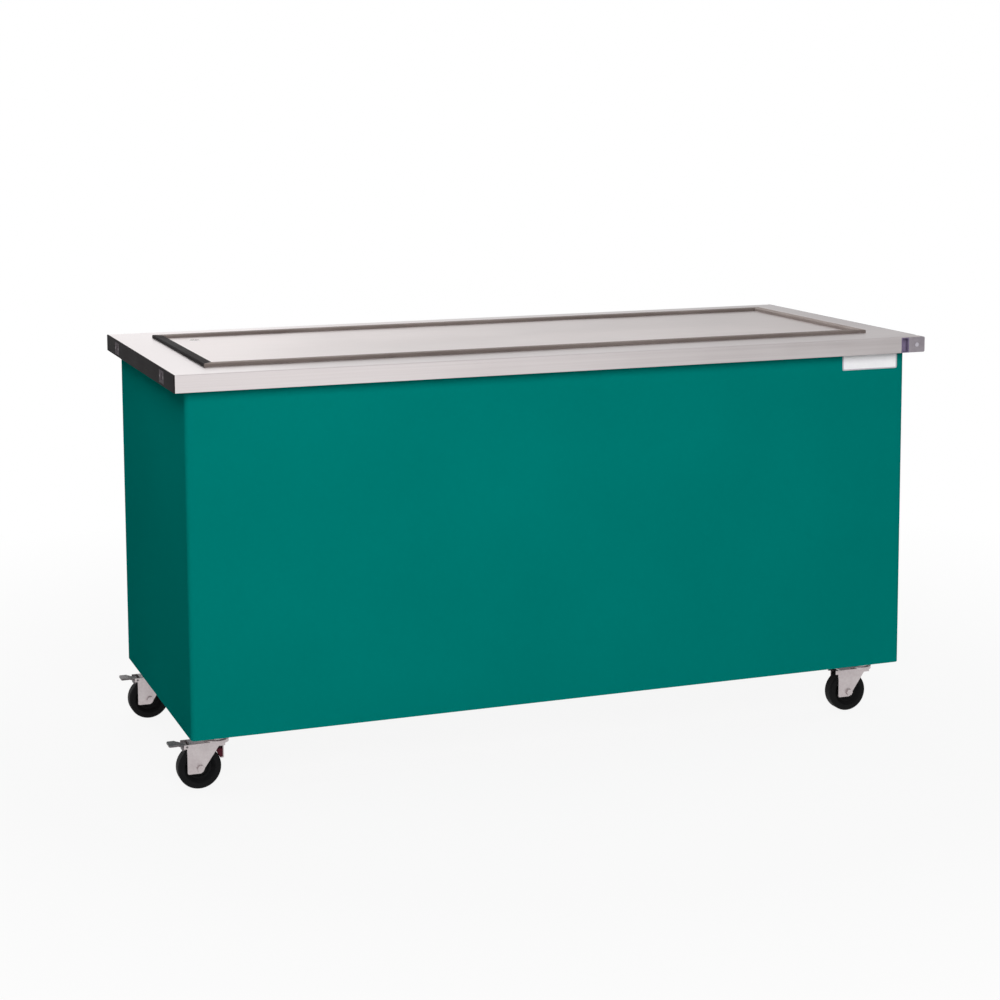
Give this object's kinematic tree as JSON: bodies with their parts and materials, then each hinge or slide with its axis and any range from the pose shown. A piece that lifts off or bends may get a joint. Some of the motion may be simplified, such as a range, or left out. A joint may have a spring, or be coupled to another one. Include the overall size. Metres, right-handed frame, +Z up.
{
  "type": "frost top serving counter",
  "caption": "Mobile serving counter with a refrigerated frost plate in a stainless deck, a moulded body with an open rear store and a louvred machine bay, on swivel casters.",
  "frame": {"origin": "on the floor under the middle of the counter", "axes": "+X to the right seen from the customer side, +Y towards the operator, +Z up"},
  "size_m": [1.798, 0.762, 0.921],
  "materials": {
    "stainless": "brushed",
    "galvanised": "satin",
    "zinc": "bright zinc plate",
    "dark_zinc": "satin",
    "black_plastic": "matte",
    "teal_gelcoat": "semi gloss",
    "foam": "matte",
    "copper": "satin",
    "brass": "satin",
    "red_vinyl": "gloss",
    "black_paint": "satin",
    "fin_aluminium": "satin",
    "rubber": "matte",
    "black_rubber": "satin"
  },
  "bodies": {
    "cabinet": {"counter_deck": "stainless", "end_trim_left": "black_plastic", "end_trim_right": "black_plastic", "lineup_keepers": "dark_zinc", "lineup_pocket": "black_plastic", "lineup_block": "zinc", "frost_plate": "stainless", "breaker_long": "black_plastic", "breaker_short": "black_plastic", "evaporator_coil": "copper", "foam_slab": "foam", "insulation_pan": "galvanised", "drain_pipe": "stainless", "drain_valve_body": "brass", "body_shell": "teal_gelcoat", "base_frame": "galvanised", "corner_posts": "galvanised", "storage_floor": "stainless", "partition": "stainless", "rear_header": "stainless", "hinge_leaves_fixed": "stainless", "hinge_pins": "stainless", "door_catch": "black_plastic", "control_plate": "stainless", "switch_bezel": "black_plastic", "thermostat_body": "black_plastic", "cord_gland": "black_plastic", "unit_base": "galvanised", "compressor_grommets": "rubber", "compressor": "black_paint", "condenser_coil": "fin_aluminium", "fan_shroud": "black_paint", "fan_motor": "black_paint", "filter_drier": "copper", "liquid_line": "copper", "suction_line": "copper", "discharge_line": "copper", "caster_plates": "zinc"},
    "caster_front_left": {"caster_fork_front_left": "zinc", "caster_axle_front_left": "zinc"},
    "wheel_front_left": {"caster_wheel_front_left": "black_rubber"},
    "pedal_front_left": {"brake_pedal_front_left": "dark_zinc"},
    "caster_front_right": {"caster_fork_front_right": "zinc", "caster_axle_front_right": "zinc"},
    "wheel_front_right": {"caster_wheel_front_right": "black_rubber"},
    "caster_back_left": {"caster_fork_back_left": "zinc", "caster_axle_back_left": "zinc"},
    "wheel_back_left": {"caster_wheel_back_left": "black_rubber"},
    "pedal_back_left": {"brake_pedal_back_left": "dark_zinc"},
    "caster_back_right": {"caster_fork_back_right": "zinc", "caster_axle_back_right": "zinc"},
    "wheel_back_right": {"caster_wheel_back_right": "black_rubber"},
    "door": {"compressor_door": "stainless", "hinge_leaves_door": "stainless", "door_pull": "stainless"},
    "rocker": {"switch_rocker": "black_plastic"},
    "knob": {"thermostat_knob": "black_plastic"},
    "lever": {"drain_lever": "red_vinyl"},
    "fan": {"fan_blade": "fin_aluminium"}
  },
  "joints": [
    {"name": "swivel_front_left", "type": "hinge", "parent": "cabinet", "child": "caster_front_left", "pos_m": [-0.793, -0.285, 0.115], "axis": [0, 0, 1], "continuous": true},
    {"name": "roll_front_left", "type": "hinge", "parent": "caster_front_left", "child": "wheel_front_left", "pos_m": [-0.833, -0.285, 0.0475], "axis": [0, 1, 0], "continuous": true},
    {"name": "brake_front_left", "type": "hinge", "parent": "caster_front_left", "child": "pedal_front_left", "pos_m": [-0.861, -0.285, 0.0975], "axis": [0, -1, 0], "range_deg": [0, 12]},
    {"name": "swivel_front_right", "type": "hinge", "parent": "cabinet", "child": "caster_front_right", "pos_m": [0.793, -0.285, 0.115], "axis": [0, 0, 1], "continuous": true},
    {"name": "roll_front_right", "type": "hinge", "parent": "caster_front_right", "child": "wheel_front_right", "pos_m": [0.753, -0.285, 0.0475], "axis": [0, 1, 0], "continuous": true},
    {"name": "swivel_back_left", "type": "hinge", "parent": "cabinet", "child": "caster_back_left", "pos_m": [-0.793, 0.265, 0.115], "axis": [0, 0, 1], "continuous": true},
    {"name": "roll_back_left", "type": "hinge", "parent": "caster_back_left", "child": "wheel_back_left", "pos_m": [-0.833, 0.265, 0.0475], "axis": [0, 1, 0], "continuous": true},
    {"name": "brake_back_left", "type": "hinge", "parent": "caster_back_left", "child": "pedal_back_left", "pos_m": [-0.861, 0.265, 0.0975], "axis": [0, -1, 0], "range_deg": [0, 12]},
    {"name": "swivel_back_right", "type": "hinge", "parent": "cabinet", "child": "caster_back_right", "pos_m": [0.793, 0.265, 0.115], "axis": [0, 0, 1], "continuous": true},
    {"name": "roll_back_right", "type": "hinge", "parent": "caster_back_right", "child": "wheel_back_right", "pos_m": [0.753, 0.265, 0.0475], "axis": [0, 1, 0], "continuous": true},
    {"name": "door_swing", "type": "hinge", "parent": "cabinet", "child": "door", "pos_m": [0.828, 0.357, 0.481], "axis": [0, 0, -1], "range_deg": [0, 110]},
    {"name": "switch_rock", "type": "hinge", "parent": "cabinet", "child": "rocker", "pos_m": [0.475, 0.3545, 0.839], "axis": [1, 0, 0], "range_deg": [0, 16]},
    {"name": "knob_turn", "type": "hinge", "parent": "cabinet", "child": "knob", "pos_m": [0.575, 0.355, 0.839], "axis": [0, 1, 0], "range_deg": [0, 270]},
    {"name": "drain_turn", "type": "hinge", "parent": "cabinet", "child": "lever", "pos_m": [-0.718, 0.226, 0.792], "axis": [0, 1, 0], "range_deg": [0, 90]},
    {"name": "fan_spin", "type": "hinge", "parent": "cabinet", "child": "fan", "pos_m": [0.592, 0.175, 0.338], "axis": [0, 1, 0], "continuous": true}
  ]
}
